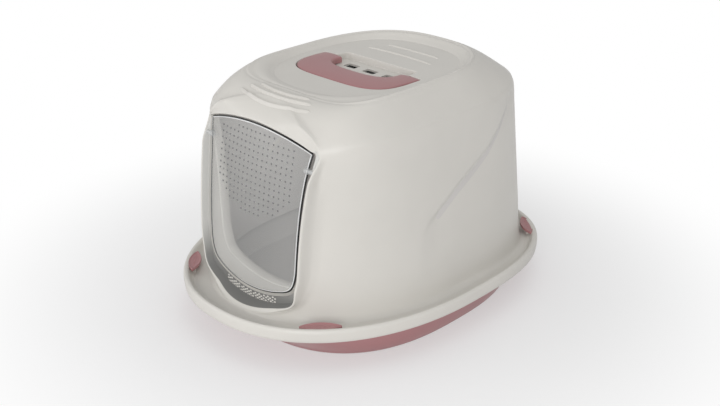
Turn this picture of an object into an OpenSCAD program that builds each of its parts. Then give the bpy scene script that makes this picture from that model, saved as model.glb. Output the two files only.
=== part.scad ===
// Hooded litter box: a boat shaped tray, a hood with a swing door, a carry handle,
// four corner clips and a filter pad in a hinged holder under the roof vents.
// Origin: middle of the tray's underside. The door faces -Y, Z is up.

/* [Overall] */
// Length over the rim, front to back
rim_len = 570; // [560:1:590]
// Width over the rim
rim_w = 450; // [440:2:470]
// Height over the whole, floor to roof
total_h = 357; // [350:1:366]

/* [Rim and tray] */
// How much further the rim reaches to the front than to the rear
nose = 22; // [16:1:28]
// Width of the tray's foot
tray_foot_w = 388; // [360:4:396]
// Distance that the tray's foot lies inside the rim, front and back together
tray_foot_inset = 116; // [90:2:140]
// Height of the tray with its lip
tray_h = 48.2; // [46:0.1:52]
// Wall thickness of the mouldings
wall = 3; // [2.5:0.1:3.4]
// Air gap between the tray's lip and the hood
seat_gap = 0.3; // [0.2:0.1:0.8]

/* [Hood] */
// Height of the rim's crest above the underside of the rim
crest_rise = 17; // [14:0.1:19]
// Height of the gutter floor above the underside of the rim
gutter_rise = 4; // [3:0.1:5]
// Depth that the skirt hangs below the underside of the rim
skirt_drop = 2.5; // [2:0.1:4]
// Width of the hood at its foot
foot_w = 377; // [360:1:384]
// Distance from the rim's front edge to the foot of the front wall
front_deck = 42.5; // [40:0.5:50]
// Distance from the rim's rear edge to the foot of the rear wall
rear_deck = 26.5; // [24:0.5:34]
// Width of the hood at its shoulders
shoulder_w = 340; // [320:2:352]
// Height of the roof above the shoulder crease at the sides
roof_rise = 41; // [38:1:48]
// Width of the roof over the crest of its band
band_w = 255; // [240:1:270]
// Depth of the dish inside the band
dish_depth = 9; // [6:0.5:12]

/* [Door] */
// Width of the door where its sides are narrowest
door_w = 186; // [170:1:190]
// Height of the middle of the door's lower edge
door_bottom_z = 77; // [76:0.5:90]
// Distance from the roof down to the middle of the door's upper edge
door_top_drop = 39; // [38:0.5:44]
// Thickness of the clear door
door_t = 2.6; // [2:0.1:3]
// Gap round the swinging door
door_gap = 2; // [1.6:0.1:2.6]
// Distance from the middle of the door's upper edge down to its pivot
pivot_drop = 42; // [37:0.5:48]
// Diameter of the door's pivot pins
door_pin_d = 6; // [4:0.5:7]

/* [Carry handle] */
// Width of the carry handle
handle_w = 192; // [180:2:196]
// Length of the carry handle from its pivot to its front edge
handle_len = 82; // [74:1:86]
// Width of the handle's grip
grip_w = 48; // [40:1:54]
// Width of the space inside the handle
grip_gap_w = 120; // [110:2:130]
// Thickness of the handle
handle_t = 7.5; // [6:0.5:8]
// Diameter of the handle's pivot pins
handle_pin_d = 6; // [4:0.5:7]
// Depth of the finger pocket below the dish
pocket_depth = 10; // [9:0.5:12]
// Gap between the handle and its pocket
handle_gap = 1.5; // [1:0.1:2.5]

/* [Vents and filter] */
// Number of vent slots in the finger pocket
vent_count = 3; // [1:1:3]
// Width of one vent slot
vent_w = 23; // [12:1:28]
// Length of one vent slot, front to back
vent_len = 14.5; // [8:0.5:20]
// Distance between the middles of two vent slots
vent_pitch = 38.4; // [32:0.1:40]
// Width of the filter pad
filter_w = 124; // [110:2:130]
// Length of the filter pad, front to back
filter_len = 62; // [50:1:66]
// Thickness of the filter pad
filter_t = 8; // [5:0.5:10]

/* [Corner clips] */
// Length of one clip along the rim
clip_len = 60; // [52:1:64]
// Width of one clip
clip_w = 19; // [17:0.5:20]
// Thickness of a clip's cap
clip_t = 4.4; // [4:0.2:5]
// Diameter of a clip's hinge pins
clip_pin_d = 4; // [3:0.5:4]
// Distance from the rim's edge to the middle of a front clip
front_clip_inset = 15; // [14:0.5:16]
// Distance from the rim's edge to the middle of a rear clip
rear_clip_inset = 13; // [12.5:0.5:14]
// Radial gap of the pins in their bores
pin_gap = 0.1; // [0.05:0.05:0.2]

/* [Hidden] */

pink = [0.72, 0.47, 0.48];
ivory = [0.86, 0.85, 0.82];
clear = [0.8, 0.82, 0.84, 0.4];
black = [0.12, 0.12, 0.11];

steps = 72;
eps = 0.01;
over = 60;

rim_front = (rim_len + nose) / 2;
rim_rear = (rim_len - nose) / 2;
tray_foot_len = rim_len - tray_foot_inset;
foot_front = rim_front - front_deck;
foot_rear = rim_rear - rear_deck;
rear_rise = 1;
roof_z = total_h - rear_rise;
shoulder_z = roof_z - roof_rise;
door_top_z = roof_z - door_top_drop;
pivot_z = door_top_z - pivot_drop;
seat_z = tray_h + seat_gap;
skirt_z = seat_z - skirt_drop;
crest_z = seat_z + crest_rise;
gutter_z = seat_z + gutter_rise;
dish_z = roof_z - dish_depth;
pocket_z = dish_z - pocket_depth;

rim_nf = 2.2;
rim_nr = 2.85;
foot_nf = 2.1;

function mix(a, b, t) = a + (b - a) * t;
function clamp(v, lo, hi) = max(lo, min(hi, v));

// A ring is [z front, z middle, z rear, half width, front, rear, front power, rear power]
function ring_r(g, phi) =
    let (s = sin(phi), b = s < 0 ? g[4] : g[5], n = s < 0 ? g[6] : g[7])
    pow(pow(abs(cos(phi)) / g[3], n) + pow(abs(s) / b, n), -1 / n);
function ring_z(g, y) = y < 0 ? mix(g[1], g[0], pow(-y / g[4], 5)) : mix(g[1], g[2], pow(y / g[5], 2));
function ring_point(g, phi) =
    let (r = ring_r(g, phi), y = r * sin(phi)) [r * cos(phi), y, ring_z(g, y)];
function ring_points(g) = [for (i = [0:steps - 1]) ring_point(g, 360 * i / steps)];
function flat_ring(z, a, bf, br, nf, nr) = [z, z, z, a, bf, br, nf, nr];
function shrink(g, side, down) =
    [g[0] - down, g[1] - down, g[2] - down, g[3] - side, g[4] - side, g[5] - side, g[6], g[7]];
function rim_ring(inset, z) =
    flat_ring(z, rim_w / 2 - inset, rim_front - inset, rim_rear - inset, rim_nf, rim_nr);

// Closed solid through a list of rings, with its first and last rings as flat caps
module loft(rings) {
    count = len(rings);
    points = [for (g = rings) each ring_points(g)];
    sides = [for (k = [0:count - 2], i = [0:steps - 1])
             let (j = (i + 1) % steps)
             [k * steps + i, (k + 1) * steps + i, (k + 1) * steps + j, k * steps + j]];
    first = [for (i = [0:steps - 1]) i];
    last = [for (i = [steps - 1:-1:0]) (count - 1) * steps + i];
    polyhedron(points, concat([first], sides, [last]), convexity = 8);
}

// Hood rings, from the skirt over the wall and the roof to the dish
rim_rings = [
    rim_ring(1, skirt_z),
    rim_ring(0, crest_z - 6),
    rim_ring(1.2, crest_z - 1.6),
    rim_ring(3.5, crest_z),
    rim_ring(6.5, crest_z - 0.6),
    rim_ring(11, gutter_z + 4),
    rim_ring(15, gutter_z + 0.6),
    rim_ring(19, gutter_z)];
foot_ring = flat_ring(gutter_z + 8, foot_w / 2, foot_front, foot_rear, foot_nf, 3.25);
fillet_rings = [
    flat_ring(gutter_z, foot_w / 2 + 8, foot_front + 6, foot_rear + 8, foot_nf, 3),
    flat_ring(gutter_z + 2.5, foot_w / 2 + 3.5, foot_front + 2.6, foot_rear + 3.5, foot_nf, 3.1)];
shoulder_ring = [shoulder_z - 10, shoulder_z, shoulder_z + 6,
                 shoulder_w / 2, foot_front - 42, foot_rear - 22.5, 3.3, 3];
shoulder_low = [shoulder_z - 17, shoulder_z - 9, shoulder_z - 3,
                shoulder_w / 2 + 2, foot_front - 35, foot_rear - 19.5, 3.1, 3.05];
crest_ring = [roof_z - 7, roof_z, roof_z + rear_rise, band_w / 2, foot_front - 106.5, foot_rear - 77.5, 4.5, 2.6];
// Where each roof ring lies between the shoulder and the crest, and how much it bulges
roof_steps = [[0.1, 1.5], [0.32, 4], [0.58, 5.5], [0.8, 4], [0.93, 1.6]];
function bulge(g, v) = [g[0] + v * 1.6, g[1], g[2] + v * 0.3, g[3], g[4] + v, g[5] + v * 0.6, g[6], g[7]];
// The front of the wall is rounder low down and squarer near the shoulder
function wall_ring(t) =
    let (g = mix(foot_ring, shoulder_low, t))
    [g[0], g[1], g[2], g[3], g[4], g[5], foot_nf + 0.5 * t + (shoulder_low[6] - foot_nf - 0.5) * pow(t, 4), g[7]];
wall_rings = [for (t = [0, 0.25, 0.5, 0.75, 0.9, 1]) wall_ring(t)];
roof_rings = [for (s = roof_steps) bulge(mix(shoulder_ring, crest_ring, s[0]), s[1])];
dish_rings = [
    [crest_ring[0], roof_z - 0.6, roof_z + 0.2, band_w / 2 - 3.5, crest_ring[4] - 4, crest_ring[5] - 5, 2.9, 2.6],
    [dish_z + 1.4, dish_z + 3.5, dish_z + 4, band_w / 2 - 9, crest_ring[4] - 9, crest_ring[5] - 15, 2.4, 2.6],
    [dish_z, dish_z, dish_z, band_w / 2 - 14, crest_ring[4] - 17, crest_ring[5] - 23, 2.4, 2.6],
    flat_ring(dish_z, band_w / 2 - 30, crest_ring[4] - 40, crest_ring[5] - 45, 2.4, 2.6)];

outer_rings = concat(rim_rings, fillet_rings, wall_rings, [shoulder_ring], roof_rings, [crest_ring], dish_rings);
inner_rings = concat(
    [flat_ring(dish_z - wall, band_w / 2 - 30, crest_ring[4] - 40, crest_ring[5] - 45, 2.4, 2.6)],
    [shrink(dish_rings[2], -1.5, wall)],
    [shrink(crest_ring, 0, wall)],
    [for (k = [4:-1:0]) shrink(roof_rings[k], wall * 0.75, wall * 0.75)],
    [shrink(shoulder_ring, wall, 1)],
    [for (k = [5:-1:0]) shrink(wall_rings[k], wall, 0)],
    [flat_ring(seat_z, foot_w / 2 - wall + 1, foot_front - wall + 1, foot_rear - wall + 1, foot_nf, 3.2),
     rim_ring(wall + 0.2, seat_z),
     rim_ring(wall + 0.2, skirt_z)]);

// Outline of the door seen from the front, grown by an amount on every side
door_half = door_w / 2;
door_arch = 18;
door_flare = 13;
door_low_z = door_bottom_z + door_arch;
door_high_z = door_top_z - door_arch;
corner_h = 42;
function door_x(z) =
    let (up = clamp((z - door_low_z) / (door_high_z - door_low_z), 0, 1),
         dn = clamp((door_low_z + corner_h - z) / corner_h, 0, 1))
    door_half - 3 + 6.5 * up + (door_flare - 5.5) * pow(up, 5) - 8 * pow(dn, 2.4);
function arc_z(x, half, rise) = rise * (1 - pow(x / half, 2));
function door_outline(side, top, bottom) =
    let (n = 14, m = 12, xb = door_x(door_low_z) + side, xt = door_x(door_high_z) + side,
         right = [for (i = [0:n]) let (z = mix(door_low_z, door_high_z, i / n)) [door_x(z) + side, z]],
         upper = [for (i = [1:m - 1]) let (x = mix(xt, -xt, i / m))
                  [x, door_high_z + top + arc_z(x, xt, door_arch)]],
         lower = [for (i = [1:m - 1]) let (x = mix(-xb, xb, i / m))
                  [x, door_low_z - bottom - arc_z(x, xb, door_arch)]])
    concat(right, upper, [for (i = [n:-1:0]) [-right[i][0], right[i][1]]], lower);

// Solid of revolution about an upright axis: its front is y_front at z_front, bowed by the radii
bow_z = 90;
bow_r = 1000;
barrel_low = 20;
door_face_y = 18.5 - foot_front;
door_r = 505;
portal_proud = 11.5;
portal_r = 440;
frame_fade = 38;
function bow(z) = pow(z - bow_z, 2) / (2 * bow_r);
// The doorway's frame stands proud of the door low down and sinks to its face at the top corners
function proud_fade(z) =
    let (t = clamp((z - door_high_z + frame_fade) / frame_fade, 0, 1)) (portal_proud - 1) * t * t * (3 - 2 * t);
module barrel(y_front, r, inner = 0, fade = false) {
    zs = [for (i = [0:12]) mix(barrel_low, roof_z, i / 12)];
    outer = [for (z = zs) [r - bow(z) - (fade ? proud_fade(z) : 0), z]];
    translate([0, y_front + r, 0]) rotate_extrude($fn = 720)
        polygon(concat(outer, inner > 0 ? [for (i = [12:-1:0]) [r - inner - bow(zs[i]), zs[i]]]
                                        : [[r / 2, roof_z], [r / 2, barrel_low]]));
}

module upright(points, y0, y1) {
    translate([0, y1, 0]) rotate([90, 0, 0]) linear_extrude(y1 - y0) polygon(points);
}

// The door's pins lie in the thickness of its bowed plate, to the nearest half millimetre
function barrel_sag(x, z) = door_r - bow(z) - sqrt(pow(door_r - bow(z), 2) - x * x);
pin_overlap = 5;
pin_depth = bow(pivot_z) + barrel_sag(door_x(pivot_z) - pin_overlap / 2, pivot_z) + door_t / 2;
pivot_y = door_face_y + round(2 * pin_depth) / 2;
stop_y = pivot_y + 6;
frame_back_y = stop_y + 15;
hood_inside_y = frame_back_y + 36;
frame_side = 13;
lip_side = 8;
portal_drop = 19;
header = 27;
brow_y = hood_inside_y - 2;
brow_z = door_top_z - 24;
brow_run = 65;
brow_rise = 54;
opening_grow = door_gap - 0.2;
door_pin_end = door_x(pivot_z) + 10.5;

module door_frame() {
    intersection() {
        upright(door_outline(frame_side, header, portal_drop + 1), door_face_y - 2 * portal_proud, frame_back_y);
        barrel(door_face_y - portal_proud, portal_r, fade = true);
        brow();
        frame_round();
    }
}

// The frame's upper corners are rounded over the door's pivots
module frame_round() {
    half = door_x(door_high_z) + frame_side + 1;
    translate([0, frame_back_y + 1, pivot_z]) rotate([90, 0, 0]) linear_extrude(over * 2) {
        scale([half, door_top_z + header - pivot_z]) circle(1, $fn = 144);
        translate([-half, -over * 5]) square([2 * half, over * 5]);
    }
}

// The frame's top rolls back into the roof along a quarter ellipse
module brow() {
    translate([-over * 3, 0, 0]) rotate([90, 0, 90]) linear_extrude(over * 6)
        polygon(concat([for (a = [90:6:180]) [brow_y + brow_run * cos(a), brow_z + brow_rise * sin(a)]],
                       [[-over * 5, brow_z - brow_rise], [-over * 5, 0], [0, 0], [0, brow_z + brow_rise]]));
}

module door_cuts() {
    difference() {
        upright(door_outline(lip_side, door_gap, portal_drop), door_face_y - 3 * portal_proud, pivot_y);
        barrel(door_face_y + 1, door_r);
    }
    upright(door_outline(4.5, door_gap, 4.5), door_face_y - over, stop_y);
    upright(door_outline(opening_grow, opening_grow, opening_grow + 1), door_face_y - over, hood_inside_y);
    intersection() {
        upright(door_outline(4.5, door_gap, 4.5), door_face_y - over, hood_inside_y + 10);
        translate([-over * 3, -over * 5, pivot_z - 12]) cube([over * 6, over * 5, over * 2]);
    }
    translate([0, pivot_y, pivot_z]) rotate([0, 90, 0])
        cylinder(d = door_pin_d + 2 * pin_gap, h = 2 * (door_pin_end + 1), center = true, $fn = 48);
}

// Finger pocket and handle, in plan
handle_y = 10;
handle_z = pocket_z + 5.2;
handle_end_r = 4.8;
handle_power = 3.8;
function half_super(a, b, n, y0, count) =
    [for (i = [0:count]) let (phi = 180 + 180 * i / count,
                              r = pow(pow(abs(cos(phi)) / a, n) + pow(abs(sin(phi)) / b, n), -1 / n))
     [r * cos(phi), y0 + r * sin(phi)]];
vent_y = 13.8;
pocket_rear_w = 140;
pocket_rear_y = 37;
pocket_w = handle_w + 2 * handle_gap;

module pocket_plan(grow) {
    polygon(concat(
        half_super(pocket_w / 2 + grow, handle_len + handle_gap + grow, handle_power, handle_y, 32),
        [[pocket_w / 2 + grow, handle_y + handle_end_r + 1 + grow],
         [pocket_rear_w / 2 + grow + 2, handle_y + handle_end_r + 3 + grow],
         [pocket_rear_w / 2 + grow, pocket_rear_y + grow],
         [-pocket_rear_w / 2 - grow, pocket_rear_y + grow],
         [-pocket_rear_w / 2 - grow - 2, handle_y + handle_end_r + 3 + grow],
         [-pocket_w / 2 - grow, handle_y + handle_end_r + 1 + grow]]));
}

handle_boss_w = 8;
module handle_bosses() {
    for (side = [-1, 1])
        translate([side * (pocket_w / 2 + handle_boss_w / 2), handle_y, handle_z - 1.4])
            cube([handle_boss_w, 14, 12], center = true);
}

clip_insets = [front_clip_inset, front_clip_inset, rear_clip_inset, rear_clip_inset];
module clip_place(index) {
    angles = [-57.9, -122.1, 56.4, 123.6];
    g = rim_ring(0, 0);
    p = ring_point(g, angles[index]);
    front = p[1] < 0;
    n = (front ? g[6] : g[7]) - 1;
    nx = sign(p[0]) * pow(abs(p[0]) / g[3], n) / g[3];
    half_len = front ? g[4] : g[5];
    ny = sign(p[1]) * pow(abs(p[1]) / half_len, n) / half_len;
    turn = atan2(ny, nx);
    translate([p[0] - clip_insets[index] * cos(turn), p[1] - clip_insets[index] * sin(turn), 0])
        rotate(turn) children();
}

// A clip's leg passes through slots in the gutter and the tray's lip, and its toe hooks under the lip
clip_pin_z = gutter_z + 3.2;
clip_top_z = crest_z - 0.4;
clip_gap = 1.2;
clip_leg_w = 20;
leg_in = 3;
leg_t = 2.6;
toe_in = 0.2;
toe_t = 2.4;
toe_top = tray_h - wall - 1.4;
slot_in = 2.3;
slot_out = 8.2;
lug_w = 4;
lug_half = 3;
lug_start = clip_leg_w / 2 + 0.8;
module lens(length, width) {
    r = (pow(length / 2, 2) + pow(width / 2, 2)) / width;
    intersection() {
        translate([r - width / 2, 0]) circle(r, $fn = 180);
        translate([width / 2 - r, 0]) circle(r, $fn = 180);
    }
}

module clip_pocket() {
    translate([0, 0, gutter_z + eps]) linear_extrude(over) lens(clip_len + 2 * clip_gap, clip_w + 2 * clip_gap);
    translate([slot_in, -lug_start, seat_z - 1]) cube([slot_out - slot_in, 2 * lug_start, gutter_rise + 2]);
}

module clip_lugs() difference() {
    for (side = [-1, 1])
        translate([-lug_half, side * (lug_start + lug_w / 2) - lug_w / 2, gutter_z - gutter_rise / 2])
            cube([2 * lug_half, lug_w, gutter_rise / 2 + clip_pin_z - gutter_z + clip_pin_d / 2 + 0.4]);
    translate([0, 0, clip_pin_z]) rotate([90, 0, 0])
        cylinder(d = clip_pin_d + 2 * pin_gap, h = 2 * (lug_start + lug_w + 1), center = true, $fn = 48);
}

filter_top_z = pocket_z - wall - 1.2;
holder_t = 1.8;
holder_gap = 0.6;
holder_w = filter_w + 2 * (holder_gap + holder_t);
holder_len = filter_len + 2 * (holder_gap + holder_t);
holder_y = 4;
holder_z = filter_top_z - filter_t - holder_t - 0.4;
hinge_y = holder_y + holder_len / 2 + 3;
hinge_z = filter_top_z - 4.8;
hinge_pin_d = 3;
hinge_span = 46;
hinge_lug_r = 2.6;

module holder_lugs() {
    for (side = [-1, 1]) translate([side * (hinge_span + 6.5) - 2, hinge_y, hinge_z]) {
        rotate([0, 90, 0]) cylinder(r = hinge_lug_r, h = 4, $fn = 48);
        translate([0, -hinge_lug_r, 0]) cube([4, 2 * hinge_lug_r, pocket_z - wall - hinge_z + 1]);
    }
}

module hood() color(ivory) {
    difference() {
        union() {
            loft(concat(inner_rings, outer_rings));
            door_frame();
            translate([0, 0, pocket_z - wall]) linear_extrude(pocket_depth + wall - 1) pocket_plan(wall);
            handle_bosses();
            holder_lugs();
        }
        door_cuts();
        translate([0, 0, pocket_z]) linear_extrude(over) pocket_plan(0);
        for (i = [0:vent_count - 1])
            translate([(i - (vent_count - 1) / 2) * vent_pitch - vent_w / 2, vent_y - vent_len / 2, pocket_z - over / 2])
                cube([vent_w, vent_len, over]);
        translate([0, handle_y, handle_z]) rotate([0, 90, 0])
            cylinder(d = handle_pin_d + 2 * pin_gap, h = pocket_w + 2 * handle_boss_w - 3, center = true, $fn = 48);
        for (i = [0:3]) clip_place(i) clip_pocket();
        translate([0, hinge_y, hinge_z]) rotate([0, 90, 0])
            cylinder(d = hinge_pin_d + 2 * pin_gap, h = 2 * hinge_span + 30, center = true, $fn = 48);
    }
    for (i = [0:3]) clip_place(i) clip_lugs();
}

tray_step = 16;
module tray() color(pink) {
    bottom = flat_ring(0, tray_foot_w / 2 - 6, tray_foot_len / 2 - 6, tray_foot_len / 2 - 6, 2.6, 2.6);
    top_z = tray_h - wall;
    difference() {
        loft([
            shrink(bottom, wall + 3, -wall),
            shrink(bottom, wall - 3, -wall - 3),
            rim_ring(tray_step + wall, top_z),
            rim_ring(tray_step + 1.5, tray_h),
            rim_ring(5, tray_h),
            rim_ring(4.4, tray_h - 1.4),
            rim_ring(5, top_z),
            rim_ring(tray_step, top_z - 1),
            shrink(bottom, -6, -6),
            shrink(bottom, -4, -2),
            bottom]);
        for (i = [0:3]) clip_place(i) lip_notch();
    }
}

// Notch in the tray's lip for a clip's leg
module lip_notch() {
    translate([slot_in, -lug_start, tray_h - 2 * wall]) cube([front_clip_inset, 2 * lug_start, 3 * wall]);
}

module clip() color(pink) {
    cap_z = clip_top_z - clip_t;
    translate([0, 0, cap_z]) linear_extrude(clip_t) lens(clip_len, clip_w);
    translate([0, clip_leg_w / 2, 0]) rotate([90, 0, 0]) linear_extrude(clip_leg_w)
        polygon([[-3.5, cap_z + 0.5], [-3.5, clip_pin_z + 0.5], [-2, clip_pin_z - 2.2], [leg_in, clip_pin_z - 2.2],
                 [leg_in, toe_top], [toe_in, toe_top], [toe_in, toe_top - 1.2], [toe_in + 1.2, toe_top - toe_t],
                 [leg_in + leg_t, toe_top - toe_t], [leg_in + leg_t, cap_z + 0.5]]);
    translate([0, 0, clip_pin_z]) rotate([90, 0, 0])
        cylinder(d = clip_pin_d, h = 2 * (lug_start + lug_w), center = true, $fn = 48);
}

module clip_front_right() clip_place(0) clip();
module clip_front_left() clip_place(1) clip();
module clip_rear_right() clip_place(2) clip();
module clip_rear_left() clip_place(3) clip();

module door() color(clear) {
    intersection() {
        upright(door_outline(0, 0, 0), door_face_y - over, hood_inside_y);
        barrel(door_face_y, door_r, door_t);
    }
    for (side = [-1, 1]) translate([side * (door_x(pivot_z) - pin_overlap), pivot_y, pivot_z]) rotate([0, side * 90, 0]) {
        cylinder(d = door_pin_d + 2.4, h = 6, $fn = 48);
        cylinder(d = door_pin_d, h = 15, $fn = 48);
    }
}

module carry_handle() color(pink) {
    intersection() {
        translate([0, 0, pocket_z]) linear_extrude(over) difference() {
            polygon(concat(half_super(handle_w / 2, handle_len, handle_power, handle_y, 40),
                           [[handle_w / 2, handle_y + 10], [-handle_w / 2, handle_y + 10]]));
            polygon(concat(half_super(grip_gap_w / 2, handle_len - grip_w, 3, handle_y, 24),
                           [[grip_gap_w / 2, handle_y + 11], [-grip_gap_w / 2, handle_y + 11]]));
        }
        translate([-handle_w, handle_y, handle_z]) rotate([90, 0, 90]) linear_extrude(2 * handle_w) {
            circle(handle_end_r, $fn = 64);
            polygon([[0, -handle_end_r], [0, handle_end_r], [-20, handle_end_r + 1],
                     [-handle_len / 2, handle_end_r + 1.4], [-handle_len, handle_end_r],
                     [-handle_len, handle_end_r - 5], [-handle_len / 2, handle_end_r + 1.4 - handle_t]]);
        }
    }
    translate([0, handle_y, handle_z]) rotate([0, 90, 0]) for (side = [-1, 1])
        translate([0, 0, side * (handle_w / 2 + 1)])
            cylinder(d = handle_pin_d, h = 10, center = true, $fn = 48);
}

module filter_pad() color(black) {
    translate([-filter_w / 2, holder_y - filter_len / 2, filter_top_z - filter_t])
        cube([filter_w, filter_len, filter_t - 0.4]);
}

module filter_holder() color(ivory) {
    slot_count = 7;
    slot_w = 10;
    slot_pitch = filter_w / slot_count;
    difference() {
        translate([-holder_w / 2, holder_y - holder_len / 2, holder_z])
            cube([holder_w, holder_len, filter_top_z - holder_z]);
        translate([-filter_w / 2 - holder_gap, holder_y - filter_len / 2 - holder_gap, holder_z + holder_t])
            cube([filter_w + 2 * holder_gap, filter_len + 2 * holder_gap, over]);
        for (i = [0:slot_count - 1])
            translate([(i - (slot_count - 1) / 2) * slot_pitch - slot_w / 2, holder_y - filter_len / 2 + 5, 0])
                cube([slot_w, filter_len - 10, holder_z + over]);
    }
    for (side = [-1, 1]) {
        translate([side * hinge_span - 3, holder_y + holder_len / 2 - eps, hinge_z - 2.4]) cube([6, 3, 4.8]);
        translate([side * hinge_span - 3, hinge_y, hinge_z]) rotate([0, 90, 0]) cylinder(d = 4.8, h = 6, $fn = 48);
    }
    translate([0, hinge_y, hinge_z]) rotate([0, 90, 0]) for (side = [-1, 1])
        translate([0, 0, side * (hinge_span + 4.5)])
            cylinder(d = hinge_pin_d, h = 8, center = true, $fn = 48);
}

tray();
hood();
door();
carry_handle();
filter_pad();
filter_holder();
clip_front_right();
clip_front_left();
clip_rear_right();
clip_rear_left();
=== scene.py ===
import math

import bmesh
import bpy
import numpy as np
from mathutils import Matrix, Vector
from mathutils.bvhtree import BVHTree


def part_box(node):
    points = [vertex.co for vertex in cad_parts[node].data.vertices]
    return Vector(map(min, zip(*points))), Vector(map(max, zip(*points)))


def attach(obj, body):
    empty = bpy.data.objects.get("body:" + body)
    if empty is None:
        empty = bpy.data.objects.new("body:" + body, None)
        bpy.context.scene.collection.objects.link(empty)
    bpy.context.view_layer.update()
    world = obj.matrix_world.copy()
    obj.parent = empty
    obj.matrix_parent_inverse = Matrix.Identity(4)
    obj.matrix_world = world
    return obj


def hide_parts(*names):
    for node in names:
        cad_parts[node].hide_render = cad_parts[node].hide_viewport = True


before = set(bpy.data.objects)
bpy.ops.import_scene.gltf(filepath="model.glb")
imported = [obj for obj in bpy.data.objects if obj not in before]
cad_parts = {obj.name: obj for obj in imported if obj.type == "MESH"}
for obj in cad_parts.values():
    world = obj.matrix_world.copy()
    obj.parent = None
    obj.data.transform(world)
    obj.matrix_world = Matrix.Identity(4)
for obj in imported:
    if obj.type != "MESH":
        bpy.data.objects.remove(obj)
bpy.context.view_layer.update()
scene = bpy.context.scene

# ---------------------------------------------------------------- sizes, in mm
SEAT_Z = 48.5
SKIRT_Z = 46.0
CREST_Z = 65.5
GUTTER_Z = 52.5
ROOF_Z = 356.0
DISH_Z = 347.0
POCKET_Z = 337.0
SHOULDER_Z = 315.0
WALL = 3.0
TRAY_H = 48.2
PIVOT = (0.0, -207.0, 275.0)
HANDLE_Y, HANDLE_Z = 10.0, 342.2
FRONT, REAR, HALF = 296.0, 274.0, 225.0


def smooth(a, b, x):
    t = np.clip((np.asarray(x, float) - a) / (b - a), 0, 1)
    return t * t * (3 - 2 * t)


# ---------------------------------------------------------------- mesh helpers
def add_object(name, verts, faces, body, material, smooth_angle=40):
    mesh = bpy.data.meshes.new(name)
    mesh.from_pydata((np.asarray(verts, float) * 0.001).tolist(), [], [tuple(int(i) for i in f) for f in faces])
    mesh.validate()
    mesh.update()
    obj = bpy.data.objects.new(name, mesh)
    scene.collection.objects.link(obj)
    mesh.materials.append(material)
    shade(obj, smooth_angle)
    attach(obj, body)
    return obj


def shade(obj, angle):
    mesh = obj.data
    mesh.polygons.foreach_set("use_smooth", [True] * len(mesh.polygons))
    if angle < 180:
        bm = bmesh.new()
        bm.from_mesh(mesh)
        limit = math.radians(angle)
        for e in bm.edges:
            e.smooth = not (len(e.link_faces) == 2 and e.calc_face_angle(0) > limit)
        bm.to_mesh(mesh)
        bm.free()
    mesh.update()


def grid_faces(rows, cols, closed=True, flip=False, start=0):
    out = []
    last = cols if closed else cols - 1
    for k in range(rows - 1):
        for i in range(last):
            j = (i + 1) % cols
            q = (start + k * cols + i, start + k * cols + j, start + (k + 1) * cols + j, start + (k + 1) * cols + i)
            out.append(q[::-1] if flip else q)
    return out


class Build:
    """Collects grids and fills of one piece."""

    def __init__(self):
        self.v = []
        self.f = []

    def grid(self, rings, closed=True, flip=False, caps=(False, False)):
        rings = np.asarray(rings, float)
        rows, cols = rings.shape[:2]
        base = len(self.v)
        self.v.extend(rings.reshape(-1, 3).tolist())
        self.f.extend(grid_faces(rows, cols, closed, flip, base))
        if caps[0]:
            c = tuple(range(base, base + cols))
            self.f.append(c if flip else c[::-1])
        if caps[1]:
            c = tuple(range(base + (rows - 1) * cols, base + rows * cols))
            self.f.append(c[::-1] if flip else c)
        return base

    def fill(self, loops, up=True):
        """Flat fill between closed loops; the first is the outer one, the others are holes."""
        bm = bmesh.new()
        edges = []
        for loop in loops:
            vs = [bm.verts.new(p) for p in loop]
            edges += [bm.edges.new((vs[i], vs[(i + 1) % len(vs)])) for i in range(len(vs))]
        bmesh.ops.triangle_fill(bm, edges=edges, use_beauty=True)
        bm.verts.index_update()
        base = len(self.v)
        self.v.extend([tuple(v.co) for v in bm.verts])
        for f in bm.faces:
            f.normal_update()
            ids = [base + v.index for v in f.verts]
            self.f.append(ids if (f.normal.z > 0) == up else ids[::-1])
        bm.free()

    def extrude(self, poly, lift, place):
        """A polygon (a, b) extruded along c from -lift to lift; place maps (a, b, c) to x, y, z."""
        rings = [[place(p[0], p[1], c) for p in poly] for c in (-lift, lift)]
        self.grid(rings, caps=(True, True))

    def obj(self, name, body, slot, material, angle=40):
        return add_object(name, self.v, self.f, body, material, angle)


def cylinder(build, p, q, r, n=32, bevel=0.4):
    """A rod of radius r from p to q with small bevels."""
    p, q = np.array(p, float), np.array(q, float)
    d = (q - p) / np.linalg.norm(q - p)
    a = np.cross(d, [0, 0, 1.0]) if abs(d[2]) < 0.9 else np.cross(d, [1.0, 0, 0])
    a /= np.linalg.norm(a)
    b = np.cross(d, a)
    t = np.linspace(0, 2 * math.pi, n, endpoint=False)
    circle = np.outer(np.cos(t), a) + np.outer(np.sin(t), b)
    rings = [p + circle * (r - bevel), p + d * bevel + circle * r,
             q - d * bevel + circle * r, q + circle * (r - bevel)]
    build.grid(rings, caps=(True, True))


def dome_profile(radius, height, steps, turn):
    """(radius, height) of the rings of a small dome; turn is the part of a quarter turn that it covers."""
    return [(radius * math.cos(e * math.pi / 2 * turn), height * math.sin(e * math.pi / 2)) for e in steps]


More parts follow.
